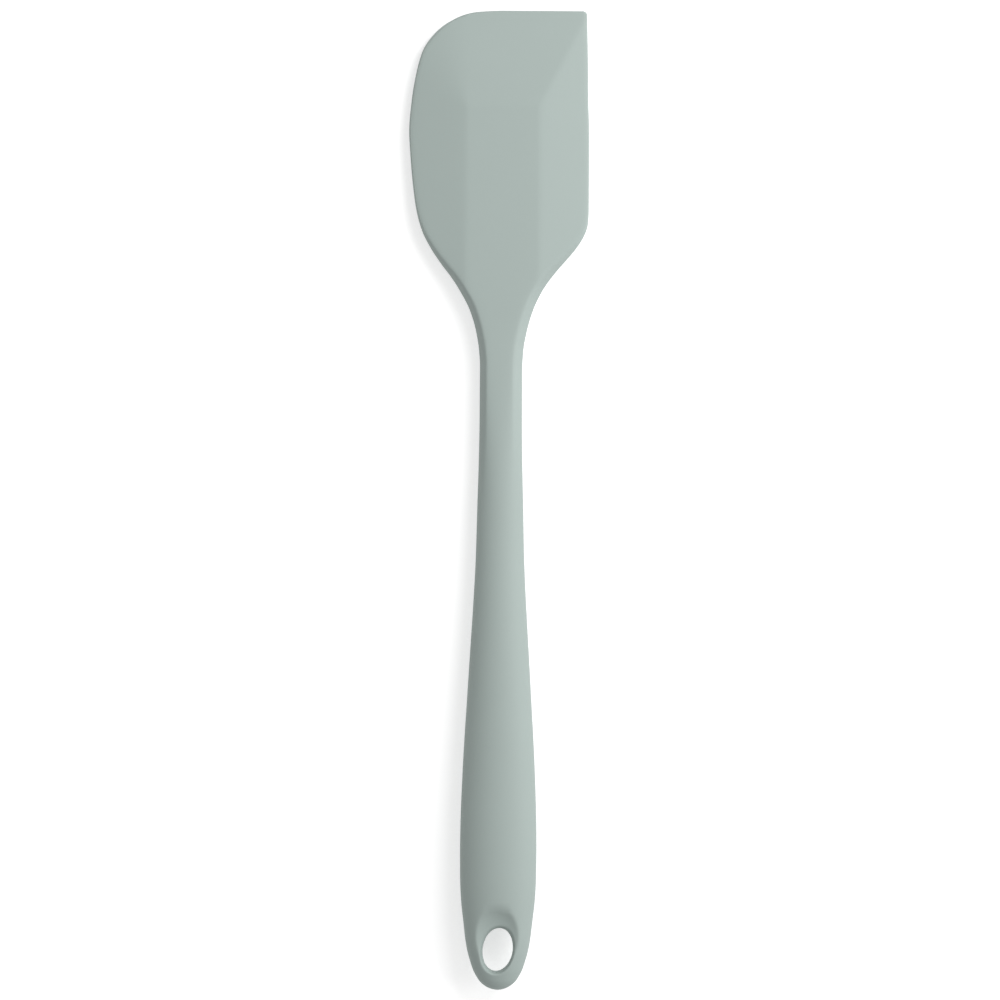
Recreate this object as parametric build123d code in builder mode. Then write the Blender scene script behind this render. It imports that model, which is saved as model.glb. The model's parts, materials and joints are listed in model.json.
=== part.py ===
from build123d import *
from math import atan2, cos, degrees, radians, sin, tan
import os

# One-piece silicone spatula, in millimetres.
# It is drawn in a tool frame: x across, y along from the butt of the handle, z through the thickness.
# At the end it is laid down as it rests on a table, on the handle and on the back of the blade.

# Handle
overall_length = 280.0
handle_length = 150.0
handle_half_width = 10.95
handle_half_thickness = 7.4
handle_tail_length = 35.0

# Neck and shoulders
neck_half_width = 6.05
neck_root_place = 138.0
shoulder_place = 193.6
shoulder_radius = 42.0
shoulder_angle = 39.6
left_shoulder_run = 17.5
side_draft = 33.0
draft_height = 4.6

# Blade
blade_left_reach = 26.7
blade_right_reach = 24.9
blade_right_top_reach = 24.05
lower_corner_radius = 16.1
tip_corner_radius = 1.2
panel_left_reach = 10.3
panel_right_reach = 10.55
panel_half_thickness = 3.5
tip_facet_length = 27.6
lip_half_thickness = 0.8

# Hanging eye
hole_half_width = 4.3
hole_half_length = 6.2
hole_place = 11.5
dish_place = 13.4
dish_half_width = 10.5
dish_half_length = 10.56
dish_depth = 3.7

# Core
eye_cover = 1.2
eye_ring_width = 1.65
eye_ring_length = 1.9
eye_half_thickness = 1.6
stem_half_width = 6.4
stem_half_thickness = 2.6
stem_neck_half_width = 3.4
stem_neck_half_thickness = 1.8
paddle_half_width = 7.2
paddle_length = 44.0
paddle_tip_gap = 33.0
paddle_root_half_thickness = 1.0
paddle_tip_half_thickness = 0.6
paddle_corner_radius = 4.0
key_hole_radius = 1.5

# Studs
stud_radius = 1.4
stud_cover = 0.4
handle_stud_spacing = 18.0
blade_stud_spacing = 8.0
blade_stud_inset = 9.0

# One overrun serves every cut
overrun = 10.0

# Shares, chosen by hand, that follow the sizes above
bulge_share = 0.27
butt_shares = [(0.566, 0.0271), (0.795, 0.0747), (0.904, 0.132)]
grip_shares = [(0.954, 0.399), (0.843, 0.551), (0.745, 0.666), (0.63, 0.847), (0.566, 1.0)]
tail_share = 0.45
left_edge_shares = [(0.748, 0.324), (0.858, 0.38), (0.948, 0.488), (1.0, 0.662), (0.933, 0.816)]
left_corner_shares = [(0.753, 0.93), (0.464, 0.983)]
top_edge_start_share = 0.187
crown_root_slope_share = 0.08
neck_crown_shares = [(0.0, 0.88), (0.27, 1.11), (0.5, 1.12)]
key_hole_shares = [0.44, 0.58, 0.72, 0.86]
left_edge_steps = 12

# Places worked out from the sizes
bulge_place = handle_length * bulge_share
handle_flatness = handle_half_thickness / handle_half_width
panel_top_place = overall_length - tip_facet_length
neck_span = shoulder_place - neck_root_place
paddle_top_place = overall_length - paddle_tip_gap
paddle_root_place = paddle_top_place - paddle_length
dish_end_place = dish_place + dish_half_length
eye_half_width = hole_half_width + eye_cover
eye_half_length = hole_half_length + eye_cover
blade_base_place = shoulder_place - shoulder_radius * tan(radians(shoulder_angle / 2))
blade_length = overall_length - blade_base_place
slant_x = sin(radians(shoulder_angle))
slant_y = cos(radians(shoulder_angle))
right_corner_place = shoulder_place + (blade_right_reach - neck_half_width) / tan(radians(shoulder_angle))
half_span = blade_left_reach + overrun
facet_margin = lip_half_thickness
facet_drop = panel_half_thickness - lip_half_thickness
left_facet_width = blade_left_reach - panel_left_reach
right_facet_width = blade_right_reach - panel_right_reach
handle_stud_places = [(0, bulge_place - handle_stud_spacing / 2), (0, bulge_place + handle_stud_spacing / 2)]
blade_stud_places = [(0, paddle_root_place + blade_stud_inset)]
blade_stud_places += [(-blade_stud_spacing / 2, paddle_top_place - blade_stud_inset)]
blade_stud_places += [(blade_stud_spacing / 2, paddle_top_place - blade_stud_inset)]
stud_places = handle_stud_places + blade_stud_places


def below_panel(run, facet_width):
    """Half thickness that a facet has at a distance from its crease."""
    return panel_half_thickness - facet_drop * run / facet_width


# Handle: half of its plan outline, turned about the long axis and flattened
butt_points = [(0, 0)]
butt_points += [(handle_half_width * across, handle_length * along) for across, along in butt_shares]
butt_points += [(handle_half_width, bulge_place)]
grip_points = [(handle_half_width, bulge_place)]
grip_points += [(handle_half_width * across, handle_length * along) for across, along in grip_shares]
tail_end = handle_length + handle_tail_length
tail_half_width = handle_half_width * tail_share

with BuildPart() as handle:
    with BuildSketch(Plane.XY):
        with BuildLine():
            Spline(butt_points, tangents=[(1, 0), (0, 1)])
            grip = Spline(grip_points, tangents=[(0, 1), (tail_half_width - grip_points[-1][0], handle_tail_length)])
            Polyline(grip @ 1, (tail_half_width, tail_end), (0, tail_end), (0, 0))
        make_face()
    revolve(axis=Axis.Y)
    scale(by=(1, 1, handle_flatness))

# Blade and neck: the plan outline at mid-thickness and, drawn in by the draft, at the draft height
left_start = (-neck_half_width - left_shoulder_run * slant_x, shoulder_place + left_shoulder_run * slant_y)
left_points = [left_start]
left_points += [(-blade_left_reach * across, blade_base_place + blade_length * along)
                for across, along in left_edge_shares + left_corner_shares]
left_points += [(-blade_left_reach * top_edge_start_share, overall_length)]
left_edge = Edge.make_spline([Vector(*point) for point in left_points],
                             tangents=[Vector(-slant_x, slant_y), Vector(1, 0)])
draft_inset = draft_height * tan(radians(side_draft))
corner_slip = tan(radians(shoulder_angle / 2))


def left_edge_points(inset):
    """Points of the left edge, moved inward along its own normals."""
    points = []
    for step in range(left_edge_steps + 1):
        place = left_edge @ (step / left_edge_steps)
        heading = left_edge % (step / left_edge_steps)
        points.append((place.X + heading.Y * inset, place.Y - heading.X * inset))
    return points


with BuildPart() as blade:
    for height, inset in ((0, 0), (draft_height, draft_inset)):
        slip = inset * corner_slip
        inner_neck = neck_half_width - inset
        with BuildSketch(Plane.XY.offset(height)) as plan_sketch:
            with BuildLine():
                edge = Spline(left_edge_points(inset), tangents=[(-slant_x, slant_y), (1, 0)])
                Polyline(edge @ 1, (blade_right_top_reach - inset, overall_length - inset),
                         (blade_right_reach - inset, right_corner_place + slip),
                         (inner_neck, shoulder_place + slip), (inner_neck, neck_root_place),
                         (-inner_neck, neck_root_place), (-inner_neck, shoulder_place + slip), edge @ 0)
            make_face()
            corners = plan_sketch.vertices()
            fillet(corners.sort_by_distance((blade_right_reach - inset, right_corner_place + slip))[0],
                   radius=lower_corner_radius - inset)
            corners = plan_sketch.vertices()
            fillet(corners.sort_by_distance((blade_right_top_reach - inset, overall_length - inset))[0],
                   radius=tip_corner_radius)
            for side in (inner_neck, -inner_neck):
                corners = plan_sketch.vertices()
                fillet(corners.sort_by_distance((side, shoulder_place + slip))[0], radius=shoulder_radius + inset)
    loft(ruled=True)
    mirror(about=Plane.XY)

    # Side view: crowned neck, flat panel, facet down to the tip
    with BuildSketch(Plane.YZ):
        with BuildLine():
            crown = Spline([(neck_root_place + neck_span * along, panel_half_thickness * thick)
                            for along, thick in neck_crown_shares] + [(shoulder_place, panel_half_thickness)],
                           tangents=[(1, crown_root_slope_share), (1, 0)])
            Polyline(crown @ 1, (panel_top_place, panel_half_thickness),
                     (overall_length + facet_margin, below_panel(tip_facet_length + facet_margin, tip_facet_length)),
                     (overall_length + facet_margin, 0), (neck_root_place, 0), crown @ 0)
        make_face()
        mirror(about=Plane.XZ)
    extrude(amount=half_span, both=True, mode=Mode.INTERSECT)

    # End view: flat panel with a facet down to each side
    with BuildSketch(Plane.XZ):
        with BuildLine():
            Polyline((0, panel_half_thickness + overrun), (-panel_left_reach, panel_half_thickness + overrun),
                     (-panel_left_reach, panel_half_thickness),
                     (-blade_left_reach - facet_margin,
                      below_panel(left_facet_width + facet_margin, left_facet_width)),
                     (-blade_left_reach - facet_margin, 0), (blade_right_reach + facet_margin, 0),
                     (blade_right_reach + facet_margin,
                      below_panel(right_facet_width + facet_margin, right_facet_width)),
                     (panel_right_reach, panel_half_thickness),
                     (panel_right_reach, panel_half_thickness + overrun), (0, panel_half_thickness + overrun))
        make_face()
        mirror(about=Plane.XZ)
    extrude(amount=-overall_length - overrun, mode=Mode.INTERSECT)

# Fan at the big rounding of the tip: what stands above an oval cone whose point is the panel's corner
cone = Cone(1, 0, panel_half_thickness, align=(Align.CENTER, Align.CENTER, Align.MIN))
cone_reach_share = panel_half_thickness / facet_drop
cone = scale(cone, by=(left_facet_width * cone_reach_share, tip_facet_length * cone_reach_share, 1))
cone = Pos(-panel_left_reach, panel_top_place, 0) * cone

with BuildPart() as corner_fan:
    with Locations((-panel_left_reach, panel_top_place, 0)):
        Box(left_facet_width + overrun, tip_facet_length + overrun, panel_half_thickness + overrun,
            align=(Align.MAX, Align.MIN, Align.MIN))
    add(cone, mode=Mode.SUBTRACT)
    mirror(about=Plane.XY)

# Core: plan outline with the eye, thinned in side view, then holed
with BuildPart() as stiffening_core:
    with BuildSketch(Plane.XY) as core_sketch:
        with BuildLine():
            Polyline((0, hole_place), (eye_half_width, hole_place), (stem_half_width, bulge_place),
                     (stem_neck_half_width, handle_length), (stem_neck_half_width, blade_base_place),
                     (paddle_half_width, paddle_root_place), (paddle_half_width, paddle_top_place),
                     (0, paddle_top_place), (0, hole_place))
        make_face()
        mirror(about=Plane.YZ)
        fillet(core_sketch.vertices().group_by(Axis.Y)[-1], radius=paddle_corner_radius)
        with Locations((0, hole_place)):
            Ellipse(eye_half_width + eye_ring_width, eye_half_length + eye_ring_length)
            Ellipse(eye_half_width, eye_half_length, mode=Mode.SUBTRACT)
    extrude(amount=stem_half_thickness, both=True)
    with BuildSketch(Plane.YZ):
        with BuildLine():
            Polyline((0, 0), (0, eye_half_thickness), (dish_end_place, eye_half_thickness),
                     (bulge_place, stem_half_thickness), (handle_length, stem_neck_half_thickness),
                     (blade_base_place, stem_neck_half_thickness), (paddle_root_place, paddle_root_half_thickness),
                     (paddle_top_place, paddle_tip_half_thickness), (paddle_top_place, 0), (0, 0))
        make_face()
        mirror(about=Plane.XZ)
    extrude(amount=half_span, both=True, mode=Mode.INTERSECT)
    with BuildSketch(Plane.XY):
        with Locations([(0, handle_length * along) for along in key_hole_shares]):
            Circle(key_hole_radius)
        with Locations(stud_places):
            Circle(stud_radius)
    extrude(amount=stem_half_thickness + overrun, both=True, mode=Mode.SUBTRACT)
stiffening_core.part.label = "stiffening_core"

# Studs: pins that fill their holes in the core and stop just under the surface of the silicone
with BuildPart() as locating_studs:
    with BuildSketch(Plane.XY):
        with Locations(handle_stud_places):
            Circle(stud_radius)
    extrude(amount=handle_half_thickness - stud_cover, both=True)
    with BuildSketch(Plane.XY):
        with Locations(blade_stud_places):
            Circle(stud_radius)
    extrude(amount=panel_half_thickness - stud_cover, both=True)
locating_studs.part.label = "locating_studs"

# Silicone: handle and blade in one, with the dish and the hanging hole, hollow where core and studs lie
dish = scale(Sphere(1), by=(dish_half_width, dish_half_length, dish_depth))
dish = Pos(0, dish_place, handle_half_thickness) * dish

with BuildPart() as silicone_body:
    add(blade.part)
    add(corner_fan.part, mode=Mode.SUBTRACT)
    add(handle.part)
    add(dish, mode=Mode.SUBTRACT)
    add(mirror(dish, about=Plane.XY), mode=Mode.SUBTRACT)
    with BuildSketch(Plane.XY):
        with Locations((0, hole_place)):
            Ellipse(hole_half_width, hole_half_length)
    extrude(amount=handle_half_thickness + overrun, both=True, mode=Mode.SUBTRACT)
    add(stiffening_core.part, mode=Mode.SUBTRACT)
    add(locating_studs.part, mode=Mode.SUBTRACT)
silicone_body.part.label = "silicone_body"

# Laid down: turned about the cross axis until handle and panel touch the table, then centred over the origin
lean = degrees(atan2(handle_half_thickness - panel_half_thickness, panel_top_place - bulge_place))
turned = Location((0, 0, 0), (-lean, 0, 0))
box = silicone_body.part.moved(turned).bounding_box()
lying = Location((-box.center().X, -box.center().Y, -box.min.Z)) * turned
silicone_body.part.move(lying)
stiffening_core.part.move(lying)
locating_studs.part.move(lying)

os.makedirs("parts", exist_ok=True)
export_step(silicone_body.part, "parts/silicone_body.step")
export_step(stiffening_core.part, "parts/stiffening_core.step")
export_step(locating_studs.part, "parts/locating_studs.step")
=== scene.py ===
import json
import math

import bmesh
import bpy
from bpy.props import FloatProperty, FloatVectorProperty, PointerProperty
from bpy.types import Operator, Panel, PropertyGroup
from mathutils import Matrix, Vector
from mathutils.kdtree import KDTree


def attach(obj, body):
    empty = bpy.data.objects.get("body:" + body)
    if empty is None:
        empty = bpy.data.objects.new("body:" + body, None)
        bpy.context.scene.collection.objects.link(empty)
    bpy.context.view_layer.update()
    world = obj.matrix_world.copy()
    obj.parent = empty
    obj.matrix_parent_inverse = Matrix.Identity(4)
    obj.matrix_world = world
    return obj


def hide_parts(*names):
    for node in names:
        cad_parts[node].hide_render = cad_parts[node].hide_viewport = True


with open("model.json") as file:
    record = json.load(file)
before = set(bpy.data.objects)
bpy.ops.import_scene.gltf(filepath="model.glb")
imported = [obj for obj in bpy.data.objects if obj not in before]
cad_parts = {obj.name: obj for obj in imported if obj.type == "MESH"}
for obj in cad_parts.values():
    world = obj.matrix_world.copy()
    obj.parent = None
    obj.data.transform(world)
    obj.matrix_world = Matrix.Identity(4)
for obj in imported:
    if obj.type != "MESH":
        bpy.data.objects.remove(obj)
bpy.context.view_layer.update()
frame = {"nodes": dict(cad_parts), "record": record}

bl_info = {
    "name": "Silicone spatula",
    "version": (1, 0, 0),
    "blender": (4, 5, 0),
    "location": "3D View > Sidebar > Spatula",
    "description": "One-piece silicone spatula with its hidden core, laid on a pale table",
    "category": "Add Mesh",
}

MM = 0.001

# The tool frame is in millimetres: u across from the middle line, v along from the butt of the handle, and the
# height over the mid-plane. Every table below holds pairs of v and a half width or half thickness.
# Outline of the handle: the butt and the grip with the neck
BUTT_SIDE = ((0.0, 0.0), (1.25, 3.79), (2.6, 5.26), (4.06, 6.19), (5.5, 6.95), (8.35, 7.92), (11.2, 8.70),
             (14.1, 9.23), (19.8, 9.91), (25.5, 10.55), (31.2, 10.85), (40.5, 10.95))
GRIP_SIDE = ((40.5, 10.95), (48.4, 10.84), (59.8, 10.45), (71.3, 9.90), (82.7, 9.21), (94.2, 8.54),
             (111.3, 7.51), (122.8, 6.95), (139.9, 6.53), (151.4, 6.22), (162.8, 6.07), (178.5, 6.05))
# Left outline from the neck over the shoulder to the blade's widest place, and from there over the rounding
# to the middle of the flat tip
LEFT_EDGE = ((178.5, 6.05), (182.8, 6.32), (188.5, 7.27), (194.3, 9.04), (200.0, 12.03), (203.6, 14.35),
             (206.4, 16.5), (209.3, 18.6), (211.4, 19.98), (217.1, 22.9), (222.9, 24.5), (228.6, 25.35),
             (237.2, 26.2), (245.7, 26.68))
ROUNDED_TIP = ((245.7, 26.68), (254.3, 26.0), (261.5, 24.85), (268.6, 22.85), (272.9, 19.95), (275.8, 16.8),
               (277.2, 14.55), (278.3, 12.38), (279.3, 9.2), (279.62, 7.4), (279.78, 5.2), (279.9, 3.0),
               (280.0, 0.0))
# Right outline from the neck over the shoulder and along the straight edge to the square corner of the tip
RIGHT_EDGE = ((177.6, 6.05), (182.8, 6.34), (188.5, 7.33), (194.3, 9.03), (200.0, 11.72), (204.3, 14.72),
              (208.6, 18.37), (211.4, 20.75), (214.3, 22.76), (217.1, 24.1), (219.5, 24.64), (222.9, 24.81),
              (226.0, 24.82), (238.0, 24.82), (247.0, 24.74), (255.0, 24.48), (264.0, 24.38), (272.0, 24.20),
              (280.0, 24.02))
# Half thickness on the middle line of the neck
NECK_CROWN = ((138.0, 4.40), (153.0, 4.02), (165.8, 3.90), (180.0, 3.70), (193.6, 3.5), (280.0, 3.5))
# Places along the length between which the handle's oval turns into the blade's section
NECK_BLEND = (138.0, 182.0)
# Places between which the handle's extra thickness comes in, and between which it goes again
FULLNESS_RISE = (52.0, 102.0)
FULLNESS_FALL = (106.0, 138.0)
# Places between which the side walls stand up into the lips
LIP_BLEND = (208.0, 234.0)
# Places across between which the left draft turns into the right one
DRAFT_BLEND = (-4.0, 4.0)
# Rounding of the side walls at mid-thickness and softness of their upper crease, as shares of their width
WALL_ROUNDING = 0.05
WALL_SOFTNESS = 0.26
# Least width of a side wall
THINNEST_WALL = 0.28
# Softness of the dish's edge, fullness of the hole's rounded rim, and where that rim is sharpest from the
# hole's middle
DISH_SOFTNESS = 0.25
RIM_FULLNESS = 2.4
SHARP_SIDE = Vector((0.8, -0.6))

# Samples of the outline along each side and along the flat tip
SIDE_SAMPLES = 3000
TIP_SAMPLES = 60
# Rows of the body's grid: at the butt, in both halves of the block round the hole, in the stretches (start,
# end and count of each) and at the tip, and the place where the block starts
BUTT_ROWS = 8
BLOCK_LOW = 1.2
BLOCK = 22
STRETCHES = ((22.5, 60.0, 24), (60.0, 140.0, 46), (140.0, 178.0, 36), (178.0, 246.0, 96), (246.0, 256.0, 22),
             (256.0, 278.6, 36))
TIP_ROWS = 12
# Columns of the grid from the middle line to the edge: over the panel, over a facet and over the side wall
PANEL_COLUMNS = 16
FACET_COLUMNS = 14
RIM_COLUMNS = 10
SIDE_COLUMNS = PANEL_COLUMNS + FACET_COLUMNS + RIM_COLUMNS
# Places along the length between which the columns spread from the handle's order to the blade's
COLUMN_BLEND = (140.0, 185.0)
# Width of the wall's columns as a multiple of the wall's, the reach over their greatest width, and the least
# width of a facet
RIM_WIDTH = 1.5
RIM_DIVISOR = 2.2
LEAST_FACET = 0.6
# How close the columns and rings crowd to the edge and to the hole, and the ring that lies on the hole's edge
RIM_CROWDING = 1.3
HOLE_CROWDING = 1.35
HOLE_RING = 9
# Distances under which two vertices count as one, and an edge as nothing
MERGE = 1e-4
NOTHING = 1e-5

# Point of the mid-plane that the camera looks at, in the tool frame
LOOK_AT = (-0.084, 140.06, 0.0)
# Lamps, table and the camera's farthest sight, in metres of the lying part
LAMP_SIZE = 0.4
KEY_PLACE = (0.36, 0.36, 0.50)
SIDE_PLACE = (0.60, -0.07, 0.36)
TABLE_HALF = 6.0
TABLE_CELLS = 4
FARTHEST = 50.0


class SpatulaSizes(PropertyGroup):
    overall_length: FloatProperty(
        name="Length", description="Butt of the handle to the tip of the blade",
        default=280 * MM, unit="LENGTH")
    handle_flatness: FloatProperty(
        name="Handle flatness", description="Thickness of the handle as a share of its width",
        default=0.676, subtype="FACTOR")
    right_reach: FloatProperty(
        name="Straight edge reach", description="Middle line to the straight edge",
        default=24.82 * MM, unit="LENGTH")
    tip_corner_radius: FloatProperty(
        name="Tip corner radius", description="Rounding of the square corner",
        default=1.2 * MM, unit="LENGTH")
    left_reach: FloatProperty(
        name="Curved edge reach", description="Middle line to the curved edge",
        default=26.7 * MM, unit="LENGTH")
    panel_left: FloatProperty(
        name="Panel left", description="Middle line to the left crease of the flat panel",
        default=10.3 * MM, unit="LENGTH")
    panel_right: FloatProperty(
        name="Panel right", description="Middle line to the right crease of the flat panel",
        default=10.55 * MM, unit="LENGTH")
    tip_facet: FloatProperty(
        name="Tip facet", description="Length of the facet that thins the blade to its tip",
        default=27.6 * MM, unit="LENGTH")
    panel_half: FloatProperty(
        name="Panel half thickness", description="Half thickness of the flat panel",
        default=3.5 * MM, unit="LENGTH")
    lip_half: FloatProperty(
        name="Lip half thickness", description="Half thickness of the thin lips",
        default=0.9 * MM, unit="LENGTH")
    crease_softness: FloatProperty(
        name="Crease softness", description="Width over which a crease turns",
        default=0.55 * MM, unit="LENGTH")
    left_draft: FloatProperty(
        name="Left draft", description="Slant of the side wall under the curved edge",
        default=math.radians(23.0), subtype="ANGLE")
    right_draft: FloatProperty(
        name="Right draft", description="Slant of the side wall under the straight edge",
        default=math.radians(31.0), subtype="ANGLE")
    lip_steepness: FloatProperty(
        name="Lip steepness", description="How far the side walls stand up along the lips",
        default=0.6, subtype="FACTOR")
    handle_fullness: FloatProperty(
        name="Handle fullness", description="Extra thickness of the handle's middle",
        default=0.08, subtype="FACTOR")
    hole_place: FloatProperty(
        name="Hole place", description="Butt of the handle to the middle of the hanging hole",
        default=11.5 * MM, unit="LENGTH")
    hole_half_width: FloatProperty(
        name="Hole half width", description="Half width of the hanging hole",
        default=4.3 * MM, unit="LENGTH")
    hole_half_length: FloatProperty(
        name="Hole half length", description="Half length of the hanging hole",
        default=6.2 * MM, unit="LENGTH")
    hole_slant: FloatProperty(
        name="Hole slant", description="Sideways lean of the hanging hole along the handle",
        default=0.075)
    hole_rim: FloatProperty(
        name="Hole rim", description="Width of the rounded rim of the hanging hole",
        default=1.15 * MM, unit="LENGTH")
    sharp_rim: FloatProperty(
        name="Sharp rim", description="Width of that rim at its sharper side, the lower right",
        default=0.6 * MM, unit="LENGTH")
    dish_place: FloatProperty(
        name="Dish place", description="Butt of the handle to the middle of the dish",
        default=13.4 * MM, unit="LENGTH")
    dish_slip: FloatProperty(
        name="Dish slip", description="How far the dish lies left of the middle line",
        default=0.30 * MM, unit="LENGTH")
    dish_half_width: FloatProperty(
        name="Dish half width", description="Half width of the hollow's full oval",
        default=9.94 * MM, unit="LENGTH")
    dish_half_length: FloatProperty(
        name="Dish half length", description="Half length of the hollow's full oval",
        default=10.75 * MM, unit="LENGTH")
    dish_evenness: FloatProperty(
        name="Dish evenness", description="0.5 for a round hollow, up to 1 for an even slope",
        default=0.75, subtype="FACTOR")
    dish_depth: FloatProperty(
        name="Dish depth", description="Depth of the hollow under the handle's crown",
        default=3.7 * MM, unit="LENGTH")
    handle_crown: FloatProperty(
        name="Handle crown", description="Half thickness of the handle at its bulge",
        default=7.4 * MM, unit="LENGTH")


class SpatulaColours(PropertyGroup):
    silicone: FloatVectorProperty(
        name="Silicone", description="Grey-green of the silicone",
        subtype="COLOR", size=3, min=0.0, max=1.0, default=(0.410, 0.480, 0.456))
    core: FloatVectorProperty(
        name="Core", description="Natural glass-filled nylon",
        subtype="COLOR", size=3, min=0.0, max=1.0, default=(0.72, 0.70, 0.64))
    studs: FloatVectorProperty(
        name="Studs", description="Pre-cured silicone of the locating studs",
        subtype="COLOR", size=3, min=0.0, max=1.0, default=(0.36, 0.42, 0.39))
    table: FloatVectorProperty(
        name="Table", description="Pale table top",
        subtype="COLOR", size=3, min=0.0, max=1.0, default=(0.80, 0.80, 0.80))


class StageSettings(PropertyGroup):
    camera_distance: FloatProperty(
        name="Camera distance", description="Camera to the spatula's mid-plane",
        default=1.4, unit="LENGTH")
    frame_width: FloatProperty(
        name="Frame width", description="Width of the picture at the mid-plane",
        default=286.0 * MM, unit="LENGTH")
    axis_slip: FloatProperty(
        name="Axis slip", description="Sideways slip of the long axis per unit of its length",
        default=0.00591)
    key_power: FloatProperty(
        name="Key light", description="Power of the lamp over the blade, at the right",
        default=2.56)
    side_power: FloatProperty(
        name="Side light", description="Power of the low lamp at the right",
        default=1.27)
    room_level: FloatProperty(
        name="Room light", description="Strength of the even room light",
        default=0.437)
    floor_glow: FloatProperty(
        name="Table glow", description="How far the table shines white to the camera",
        default=0.55)


def sizes():
    """The sizes by name: lengths in millimetres, angles and shares as they are."""
    group = bpy.context.scene.spatula_sizes
    units = {name: MM if group.bl_rna.properties[name].unit == "LENGTH" else 1
             for name in group.__annotations__}
    return {name: getattr(group, name) / unit for name, unit in units.items()}


def curve_through(points, first_slope=None, last_slope=None):
    """A smooth curve through points, that never swings past its neighbours."""
    xs = [x for x, _ in points]
    ys = [y for _, y in points]
    gaps = [(b - a) for a, b in zip(xs, xs[1:])]
    rises = [(d - c) / gap for c, d, gap in zip(ys, ys[1:], gaps)]
    slopes = [rises[0] if first_slope is None else first_slope]
    for before, after in zip(rises, rises[1:]):
        slopes.append(0.0 if before * after <= 0 else 2 * before * after / (before + after))
    slopes.append(rises[-1] if last_slope is None else last_slope)

    def value(x):
        k = 0
        while k < len(gaps) - 1 and x > xs[k + 1]:
            k += 1
        t = min(max((x - xs[k]) / gaps[k], 0.0), 1.0)
        square, cube = t * t, t * t * t
        return ((2 * cube - 3 * square + 1) * ys[k] + (cube - 2 * square + t) * gaps[k] * slopes[k]
                + (3 * square - 2 * cube) * ys[k + 1] + (cube - square) * gaps[k] * slopes[k + 1])

    return value


def smooth_step(low, high, x):
    """Zero below low and one above high, with an even turn between."""
    t = min(max((x - low) / (high - low), 0.0), 1.0)
    return t * t * (3 - 2 * t)


def soft_ramp(x, softness):
    """Zero below zero and x above it, with a soft turn between."""
    return (x + math.hypot(x, softness)) / 2


def soft_larger(a, b, softness):
    """The larger of two values, with a soft turn where they cross."""
    return b + soft_ramp(a - b, softness)


def rim_share_at(x):
    """Height share of a rounded rim at x, from 0 on the edge to 1 where the rim ends."""
    x = min(max(x, 0.0), 1.0)
    return (1 - (1 - x) ** RIM_FULLNESS) ** (1 / RIM_FULLNESS)


def wall_share_at(x):
    """Height share of a drafted side wall at x, from 0 on its edge to 1 past the soft crease at x = 1."""
    wall = math.sqrt((x * x + 2 * WALL_ROUNDING * x) / (1 + 2 * WALL_ROUNDING))
    full = soft_ramp(1.0, WALL_SOFTNESS)
    return (full - soft_ramp(1 - wall, WALL_SOFTNESS)) / full


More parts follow.
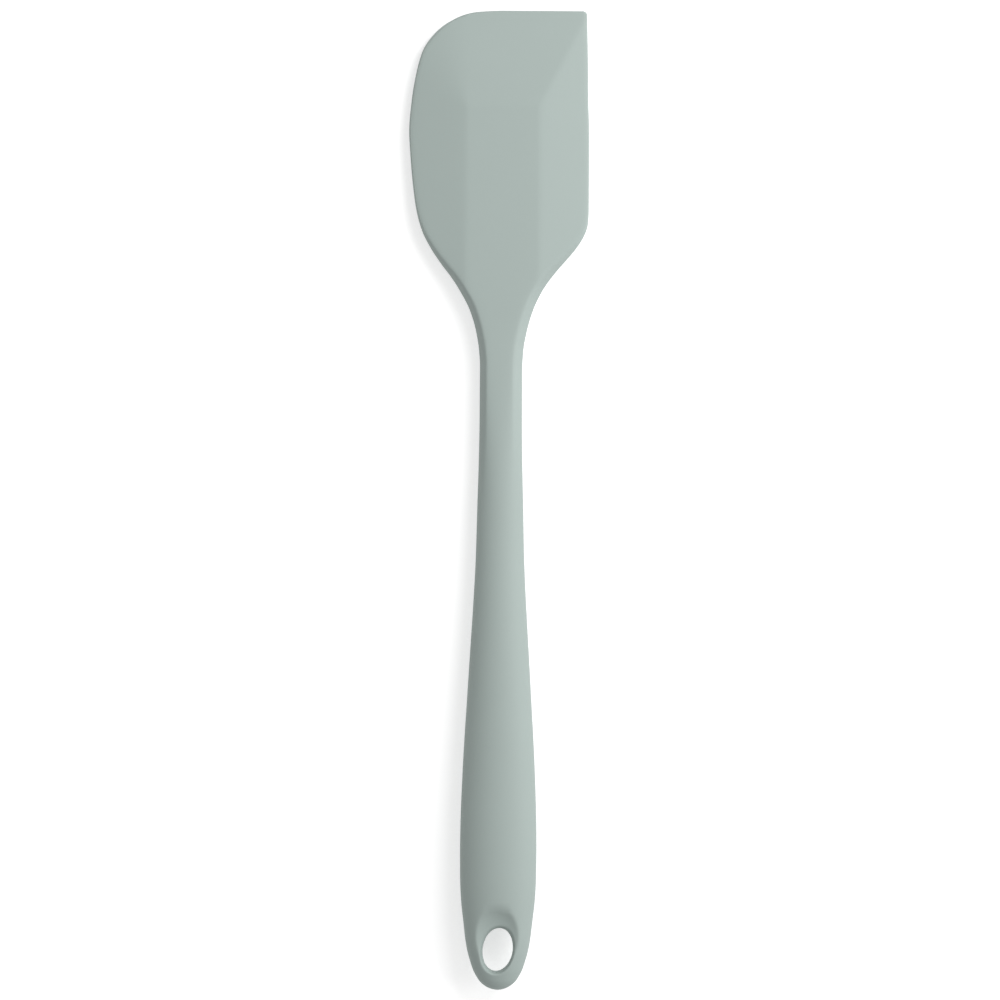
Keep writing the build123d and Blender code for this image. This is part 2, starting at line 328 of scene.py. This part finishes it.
class BodyForm:
    """The plan outline and the heights of the silicone body in the tool frame, in millimetres."""

    def __init__(self):
        self.s = s = sizes()
        self.butt = curve_through([(math.sqrt(v), u) for v, u in BUTT_SIDE])
        self.grip = curve_through(GRIP_SIDE)
        self.left_edge = curve_through(LEFT_EDGE, first_slope=0.0, last_slope=0.0)
        self.tip = curve_through([(-math.sqrt(s["overall_length"] - v), u) for v, u in ROUNDED_TIP],
                                 first_slope=0.0)
        self.right_edge = curve_through(RIGHT_EDGE, first_slope=0.0)
        self.crown = curve_through(NECK_CROWN)
        self.outline_tree()

    def handle_half(self, v):
        """Half width of the handle and the neck."""
        if v < BUTT_SIDE[-1][0]:
            return self.butt(math.sqrt(max(v, 0.0)))
        return self.grip(v)

    def right(self, v):
        """Reach of the outline to the right of the middle line."""
        s = self.s
        if v < RIGHT_EDGE[0][0]:
            return self.handle_half(v)
        into_corner = v - (s["overall_length"] - s["tip_corner_radius"])
        if into_corner <= 0:
            return self.right_edge(v)
        radius = s["tip_corner_radius"]
        return self.right_edge(v) - radius + math.sqrt(max(radius * radius - into_corner * into_corner, 0.0))

    def left(self, v):
        """Reach of the outline to the left of the middle line."""
        if v < LEFT_EDGE[0][0]:
            return self.handle_half(v)
        if v < LEFT_EDGE[-1][0]:
            return self.left_edge(v)
        return self.tip(-math.sqrt(max(self.s["overall_length"] - v, 0.0)))

    def outline_tree(self):
        """Dense samples of the outline with inward normals, for distances from the edge."""
        length = self.s["overall_length"]
        places = [length * (0.5 - 0.5 * math.cos(math.pi * k / SIDE_SAMPLES))
                  for k in range(SIDE_SAMPLES + 1)]
        samples = [Vector((self.right(v), v)) for v in places]
        start, end = self.right(length), -self.left(length)
        samples += [Vector((start + (end - start) * k / TIP_SAMPLES, length)) for k in range(1, TIP_SAMPLES)]
        samples += [Vector((-self.left(v), v)) for v in reversed(places)]
        self.samples = samples
        self.normals = []
        self.tree = KDTree(len(samples))
        for k, sample in enumerate(samples):
            heading = samples[(k + 1) % len(samples)] - samples[k - 1]
            heading = heading.normalized() if heading.length > NOTHING else Vector((1, 0))
            self.normals.append(Vector((-heading.y, heading.x)))
            self.tree.insert((sample.x, sample.y, 0.0), k)
        self.tree.balance()

    def edge_distance(self, u, v):
        """Distance of a place in the plan from the outline."""
        _, k, _ = self.tree.find((u, v, 0.0))
        offset = Vector((u, v)) - self.samples[k]
        return max(offset.dot(self.normals[k]), 0.0)

    def facets(self, u, v):
        """Half thickness of the blade over its flat panel, side facets, tip facet and fan."""
        s = self.s
        soft = s["crease_softness"]
        left = soft_ramp(-u - s["panel_left"], soft) / (s["left_reach"] - s["panel_left"])
        right = soft_ramp(u - s["panel_right"], soft) / (s["right_reach"] - s["panel_right"])
        tip = soft_ramp(v - (s["overall_length"] - s["tip_facet"]), soft) / s["tip_facet"]
        drop = soft_larger(math.hypot(left, tip), right, soft / s["tip_facet"])
        return self.crown(v) - (s["panel_half"] - s["lip_half"]) * drop

    def wall_width(self, u, v):
        """Width of the drafted side wall in the plan."""
        s = self.s
        draft = s["left_draft"] + (s["right_draft"] - s["left_draft"]) * smooth_step(*DRAFT_BLEND, u)
        draft *= 1 - s["lip_steepness"] * smooth_step(*LIP_BLEND, v)
        return max(math.tan(draft) * self.facets(u, v), THINNEST_WALL)

    def hole_radius(self, u, v):
        """Distance from the hole's middle over the hole's reach that way, 1 on its edge, and its slope."""
        s = self.s
        along = v - s["hole_place"]
        across = u - s["hole_slant"] * along
        radius = math.hypot(across / s["hole_half_width"], along / s["hole_half_length"])
        slope_u = across / s["hole_half_width"] ** 2
        slope_v = along / s["hole_half_length"] ** 2 - s["hole_slant"] * slope_u
        return radius, math.hypot(slope_u, slope_v) / radius

    def handle_height(self, u, v):
        """Height of the handle's oval over the mid-plane."""
        s = self.s
        half = self.handle_half(v)
        across = min(abs(u) / half, 1.0) if half > 0 else 1.0
        fuller = 1 + (s["handle_fullness"] * smooth_step(*FULLNESS_RISE, v)
                      * (1 - smooth_step(*FULLNESS_FALL, v)))
        return s["handle_flatness"] * fuller * half * math.sqrt(1 - across * across)

    def blade_height(self, u, v):
        """Height of the blade and the neck over the mid-plane, with their side walls."""
        return self.facets(u, v) * wall_share_at(self.edge_distance(u, v) / self.wall_width(u, v))

    def eye_height(self, height, u, v):
        """Height after the dish and the hanging hole with its rounded rim are sunk into the handle."""
        s = self.s
        inside = (1 - ((u + s["dish_slip"]) / s["dish_half_width"]) ** 2
                  - ((v - s["dish_place"]) / s["dish_half_length"]) ** 2)
        if inside > 0:
            dish = s["handle_crown"] - s["dish_depth"] * inside ** s["dish_evenness"]
            height = -soft_larger(-height, -dish, DISH_SOFTNESS)
        radius, slope = self.hole_radius(u, v)
        aim = Vector((u, v - s["hole_place"])).normalized().dot(SHARP_SIDE)
        rim = s["hole_rim"] + (s["sharp_rim"] - s["hole_rim"]) * max(aim, 0.0)
        return height * rim_share_at((radius - 1) / slope / rim)

    def height(self, u, v):
        """Height of the upper surface over the mid-plane."""
        blade_share = smooth_step(*NECK_BLEND, v)
        height = 0.0
        if blade_share < 1:
            height = (1 - blade_share) * self.handle_height(u, v)
        if blade_share > 0:
            height += blade_share * self.blade_height(u, v)
        if v < self.s["dish_place"] + self.s["dish_half_length"]:
            height = self.eye_height(height, u, v)
        return max(height, 0.0)


def row_places(form):
    """Places along the length of the grid's rows, and the row through the middle of the hole."""
    hole = form.s["hole_place"]
    places = [BLOCK_LOW * (k / BUTT_ROWS) ** 2 for k in range(BUTT_ROWS)]
    places += [BLOCK_LOW + (hole - BLOCK_LOW) * k / BLOCK for k in range(BLOCK)]
    places += [hole + (STRETCHES[0][0] - hole) * k / BLOCK for k in range(BLOCK)]
    for low, high, rows in STRETCHES:
        places += [low + (high - low) * k / rows for k in range(rows)]
    length = form.s["overall_length"]
    rim = length - STRETCHES[-1][1]
    places += [length - rim * (1 - math.sin(0.5 * math.pi * k / TIP_ROWS)) for k in range(TIP_ROWS + 1)]
    return places, BUTT_ROWS + BLOCK


def side_place(form, column, v, side):
    """Distance from the middle line of a column of the grid, 0 in the middle and SIDE_COLUMNS on the edge."""
    reach = form.right(v) if side > 0 else form.left(v)
    oval = reach * math.sin(0.5 * math.pi * column / SIDE_COLUMNS)
    blade_share = smooth_step(*COLUMN_BLEND, v)
    if blade_share == 0:
        return oval
    rim = min(form.wall_width(side * reach, v) * RIM_WIDTH, reach / RIM_DIVISOR)
    crease = min(form.s["panel_right"] if side > 0 else form.s["panel_left"], reach - rim - LEAST_FACET)
    if column <= PANEL_COLUMNS:
        place = crease * column / PANEL_COLUMNS
    elif column <= PANEL_COLUMNS + FACET_COLUMNS:
        place = crease + (reach - rim - crease) * (column - PANEL_COLUMNS) / FACET_COLUMNS
    else:
        place = reach - rim * ((SIDE_COLUMNS - column) / RIM_COLUMNS) ** RIM_CROWDING
    return oval + (place - oval) * blade_share


def between(places, k):
    """Value of a list at a place between its entries."""
    low = min(int(k), len(places) - 2)
    return places[low] + (places[low + 1] - places[low]) * (k - low)


def plan_place(form, places, column, row):
    """Plan place of a vertex of the grid, by its column and row, which may lie between whole ones."""
    v = between(places, row)
    side = 1 if column >= 0 else -1
    low = min(int(abs(column)), SIDE_COLUMNS - 1)
    start = side_place(form, low, v, side)
    return Vector((side * (start + (side_place(form, low + 1, v, side) - start) * (abs(column) - low)), v))


def hole_place(form, places, column, row, hole_row):
    """Plan place of a vertex of the block round the hole, whose rings turn from a rectangle into an oval."""
    down = row - hole_row
    ring = max(abs(column), abs(down))
    outer = plan_place(form, places, column * BLOCK / ring, hole_row + down * BLOCK / ring)
    centre = Vector((0.0, form.s["hole_place"]))
    ray = outer - centre
    edge = centre + ray / form.hole_radius(outer.x, outer.y)[0]
    share = ((ring - HOLE_RING) / (BLOCK - HOLE_RING)) ** HOLE_CROWDING
    return edge + (outer - edge) * share


def tool_matrix():
    """From the tool frame in millimetres to the lying part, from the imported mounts."""
    mounts = {mount["name"]: mount for mount in frame["record"]["mounts"]}
    normal = Vector(mounts["blade_front"]["axis"]).normalized()
    eye = Vector(mounts["hanging_eye"]["pos_m"])
    across = Vector((1.0, 0.0, 0.0))
    along = normal.cross(across).normalized()
    butt = eye - along * bpy.context.scene.spatula_sizes.hole_place
    rows = [(across[k] * MM, along[k] * MM, normal[k] * MM, butt[k]) for k in range(3)]
    return Matrix((*rows, (0, 0, 0, 1)))


class Socket:
    """A shader value that Python's own operators work on."""

    def __init__(self, graph, output):
        self.graph, self.output = graph, output

    def _maths(self, operation, *values):
        return self.graph.node("ShaderNodeMath", {"operation": operation}, list(enumerate(values)))

    def __add__(self, other):
        return self._maths("ADD", self, other)

    __radd__ = __add__

    def __mul__(self, other):
        return self._maths("MULTIPLY", self, other)

    __rmul__ = __mul__


class Graph:
    """One node material and the single way in which nodes are added to it."""

    def __init__(self, name):
        self.material = bpy.data.materials.new(name)
        self.material.use_nodes = True
        self.tree = self.material.node_tree
        self.tree.nodes.clear()

    def node(self, kind, settings=None, inputs=(), output=0):
        made = self.tree.nodes.new(kind)
        for key, value in (settings or {}).items():
            if key == "stops":
                ramp = made.color_ramp
                for k, (place, colour) in enumerate(value):
                    stop = ramp.elements[k] if k < 2 else ramp.elements.new(place)
                    stop.position = place
                    stop.color = (*colour, 1.0) if len(colour) == 3 else colour
            else:
                setattr(made, key, value)
        for key, value in inputs.items() if isinstance(inputs, dict) else inputs:
            if isinstance(value, Socket):
                self.tree.links.new(value.output, made.inputs[key])
            else:
                made.inputs[key].default_value = value
        return Socket(self, made.outputs[output]) if made.outputs else None

    def noise(self, where, scale, detail, roughness):
        return self.node("ShaderNodeTexNoise", {}, {"Vector": where, "Scale": scale, "Detail": detail,
                                                    "Roughness": roughness})

    def mixed(self, factor, first, second):
        return self.node("ShaderNodeMix", {"data_type": "RGBA"}, [(0, factor), (6, first), (7, second)],
                         output=2)

    def finish(self, **inputs):
        shader = self.node("ShaderNodeBsdfPrincipled", {}, {key.replace("_", " "): value
                                                            for key, value in inputs.items()})
        self.node("ShaderNodeOutputMaterial", {}, [(0, shader)])
        return self.material


def shade(colour, share):
    return tuple(min(channel * share, 1.0) for channel in colour) + (1.0,)


def object_place(graph):
    return graph.node("ShaderNodeTexCoord", {}, output=3)


def silicone_material(name, colour):
    """Matte moulded silicone: cloudy tone, fine skin, tiny pits and faint dust specks."""
    graph = Graph(name)
    where = object_place(graph)
    clouds = graph.noise(where, scale=38.0, detail=4.0, roughness=0.6)
    skin = graph.noise(where, scale=2600.0, detail=2.0, roughness=0.5)
    grain = graph.noise(where, scale=900.0, detail=3.0, roughness=0.6)
    specks = graph.node("ShaderNodeTexVoronoi", {"feature": "F1"}, {"Vector": where, "Scale": 190.0})
    speck_mask = graph.node("ShaderNodeValToRGB", {"stops": [(0.0, (1, 1, 1)), (0.035, (0, 0, 0))]},
                            [(0, specks)])
    base = graph.mixed(clouds, shade(colour, 0.975), shade(colour, 1.025))
    base = graph.mixed(grain * 0.25, base, shade(colour, 1.06))
    base = graph.mixed(speck_mask * 0.10, base, shade(colour, 1.5))
    bump = graph.node("ShaderNodeBump", {}, {"Strength": 0.12, "Distance": 0.00012,
                                             "Height": grain * 0.7 + skin * 0.3})
    return graph.finish(Base_Color=base, Roughness=0.50 + clouds * 0.10 + grain * 0.06, Normal=bump,
                        Specular_IOR_Level=0.35)


def nylon_material(name, colour):
    """Glass-filled nylon: short fibre streaks along the tool and a dry surface."""
    graph = Graph(name)
    where = object_place(graph)
    stretched = graph.node("ShaderNodeMapping", {}, {"Vector": where, "Scale": (1.0, 0.12, 1.0)})
    fibres = graph.noise(stretched, scale=2400.0, detail=3.0, roughness=0.7)
    clouds = graph.noise(where, scale=60.0, detail=3.0, roughness=0.5)
    base = graph.mixed(clouds, shade(colour, 0.95), shade(colour, 1.04))
    base = graph.mixed(fibres * 0.4, base, shade(colour, 0.86))
    bump = graph.node("ShaderNodeBump", {}, {"Strength": 0.25, "Distance": 0.0001, "Height": fibres})
    return graph.finish(Base_Color=base, Roughness=0.45 + fibres * 0.2, Normal=bump)


def table_material(name, colour, glow_level):
    """Pale table top: white to the camera, with the spatula's shadow kept."""
    graph = Graph(name)
    where = object_place(graph)
    clouds = graph.noise(where, scale=6.0, detail=2.0, roughness=0.5)
    base = graph.mixed(clouds, shade(colour, 0.995), shade(colour, 1.0))
    surface = graph.node("ShaderNodeBsdfDiffuse", {}, {"Color": base})
    glow = graph.node("ShaderNodeEmission", {}, {"Color": (1.0, 1.0, 1.0, 1.0), "Strength": glow_level})
    camera_ray, glossy_ray, transmission_ray = [
        graph.node("ShaderNodeLightPath", {}, output=ray)
        for ray in ("Is Camera Ray", "Is Glossy Ray", "Is Transmission Ray")]
    none = graph.node("ShaderNodeEmission", {}, {"Color": (0.0, 0.0, 0.0, 1.0), "Strength": 0.0})
    added = graph.node("ShaderNodeMixShader", {}, [(0, camera_ray + glossy_ray + transmission_ray), (1, none),
                                                   (2, glow)])
    total = graph.node("ShaderNodeAddShader", {}, [(0, surface), (1, added)])
    graph.node("ShaderNodeOutputMaterial", {}, [(0, total)])
    return graph.material


def dress(node, material):
    """Gives every slot of a CAD node's object the material."""
    held = frame["nodes"][node]
    if not held.material_slots:
        held.data.materials.append(material)
    for held_slot in held.material_slots:
        held_slot.material = material


class SPATULA_OT_silicone_body(Operator):
    """Model the seamless silicone body: blade, neck, handle, dish and hanging hole"""
    bl_idname = "spatula.silicone_body"
    bl_label = "Silicone body"

    def execute(self, context):
        form = BodyForm()
        places, hole_row = row_places(form)
        columns = 2 * SIDE_COLUMNS
        rows = len(places) - 1
        bm = bmesh.new()
        bmesh.ops.create_grid(bm, x_segments=columns, y_segments=rows, size=1.0)
        inside = set()
        for vertex in bm.verts:
            column = round((vertex.co.x + 1) / 2 * columns) - SIDE_COLUMNS
            row = round((vertex.co.y + 1) / 2 * rows)
            ring = max(abs(column), abs(row - hole_row))
            if ring < HOLE_RING:
                inside.add(vertex)
                continue
            if ring < BLOCK:
                plan = hole_place(form, places, column, row, hole_row)
            else:
                plan = plan_place(form, places, column, row)
            on_edge = abs(column) == SIDE_COLUMNS or row in (0, rows) or ring == HOLE_RING
            vertex.co = (plan.x, plan.y, 0.0 if on_edge else form.height(plan.x, plan.y))
        bmesh.ops.delete(bm, geom=list(inside), context="VERTS")
        bmesh.ops.mirror(bm, geom=bm.verts[:] + bm.edges[:] + bm.faces[:], matrix=Matrix(), merge_dist=MERGE,
                         axis="Z")
        bmesh.ops.remove_doubles(bm, verts=bm.verts[:], dist=MERGE)
        bmesh.ops.dissolve_degenerate(bm, dist=NOTHING, edges=bm.edges[:])
        bmesh.ops.transform(bm, matrix=tool_matrix(), verts=bm.verts[:])
        bmesh.ops.recalc_face_normals(bm, faces=bm.faces[:])
        for face in bm.faces:
            face.smooth = True
        mesh = bpy.data.meshes.new("silicone_spatula_body")
        bm.to_mesh(mesh)
        bm.free()
        body = bpy.data.objects.new("silicone_spatula_body", mesh)
        context.scene.collection.objects.link(body)
        mesh.materials.append(silicone_material("sage_silicone", context.scene.spatula_colours.silicone))
        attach(body, "root")
        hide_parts("silicone_body")
        return {"FINISHED"}


class SPATULA_OT_hidden_core(Operator):
    """Finish the hidden nylon core and the silicone studs that hold it in the middle"""
    bl_idname = "spatula.hidden_core"
    bl_label = "Hidden core and studs"

    def execute(self, context):
        colours = context.scene.spatula_colours
        dress("stiffening_core", nylon_material("core_nylon", colours.core))
        dress("locating_studs", silicone_material("stud_silicone", colours.studs))
        return {"FINISHED"}


class SPATULA_OT_stage(Operator):
    """Lay out the pale table, the soft lights and the camera"""
    bl_idname = "spatula.stage"
    bl_label = "Table, lights and camera"

    def execute(self, context):
        scene = context.scene
        stage = scene.spatula_stage
        bm = bmesh.new()
        bmesh.ops.create_grid(bm, x_segments=TABLE_CELLS, y_segments=TABLE_CELLS, size=TABLE_HALF)
        mesh = bpy.data.meshes.new("table_top")
        bm.to_mesh(mesh)
        bm.free()
        table = bpy.data.objects.new("table_top", mesh)
        scene.collection.objects.link(table)
        mesh.materials.append(table_material("pale_table", scene.spatula_colours.table, stage.floor_glow))
        self.light(scene, "key_light", stage.key_power, KEY_PLACE)
        self.light(scene, "side_light", stage.side_power, SIDE_PLACE)
        world = bpy.data.worlds.new("room")
        scene.world = world
        world.use_nodes = True
        background = world.node_tree.nodes["Background"]
        background.inputs["Color"].default_value = (1.0, 1.0, 1.0, 1.0)
        background.inputs["Strength"].default_value = stage.room_level
        scene.view_settings.view_transform = "Standard"
        self.camera(scene, stage)
        return {"FINISHED"}

    def light(self, scene, name, power, place):
        """Add a soft round lamp that looks at the middle of the spatula."""
        lamp = bpy.data.lights.new(name, "AREA")
        lamp.shape = "DISK"
        lamp.size = LAMP_SIZE
        lamp.energy = power
        held = bpy.data.objects.new(name, lamp)
        held.location = place
        held.rotation_euler = (-Vector(place)).to_track_quat("-Z", "Y").to_euler()
        scene.collection.objects.link(held)

    def camera(self, scene, stage):
        """Add the camera that looks straight down on the mid-plane, as the photograph does."""
        tool = tool_matrix()
        across = (tool.to_3x3() @ Vector((1.0, stage.axis_slip, 0.0))).normalized()
        back = (tool.to_3x3() @ Vector((0.0, 0.0, 1.0))).normalized()
        up = back.cross(across)
        middle = tool @ Vector(LOOK_AT)
        lens = bpy.data.cameras.new("photo_camera")
        lens.sensor_fit = "HORIZONTAL"
        lens.lens = lens.sensor_width * stage.camera_distance / stage.frame_width
        lens.clip_end = FARTHEST
        camera = bpy.data.objects.new("photo_camera", lens)
        place = middle + back * stage.camera_distance
        rows = [(across[k], up[k], back[k], place[k]) for k in range(3)]
        camera.matrix_world = Matrix((*rows, (0, 0, 0, 1)))
        scene.collection.objects.link(camera)
        scene.camera = camera


class SPATULA_PT_sidebar(Panel):
    bl_label = "Silicone spatula"
    bl_space_type = "VIEW_3D"
    bl_region_type = "UI"
    bl_category = "Spatula"

    def draw(self, context):
        for operator in OPERATORS:
            self.layout.operator(operator.bl_idname)


OPERATORS = (SPATULA_OT_silicone_body, SPATULA_OT_hidden_core, SPATULA_OT_stage)
CLASSES = (SpatulaSizes, SpatulaColours, StageSettings) + OPERATORS + (SPATULA_PT_sidebar,)


def register():
    for cls in CLASSES:
        bpy.utils.register_class(cls)
    bpy.types.Scene.spatula_sizes = PointerProperty(type=SpatulaSizes)
    bpy.types.Scene.spatula_colours = PointerProperty(type=SpatulaColours)
    bpy.types.Scene.spatula_stage = PointerProperty(type=StageSettings)


def unregister():
    del bpy.types.Scene.spatula_stage
    del bpy.types.Scene.spatula_colours
    del bpy.types.Scene.spatula_sizes
    for cls in reversed(CLASSES):
        bpy.utils.unregister_class(cls)


def main():
    register()
    bpy.ops.spatula.silicone_body()
    bpy.ops.spatula.hidden_core()
    bpy.ops.spatula.stage()


if __name__ == "__main__":
    main()
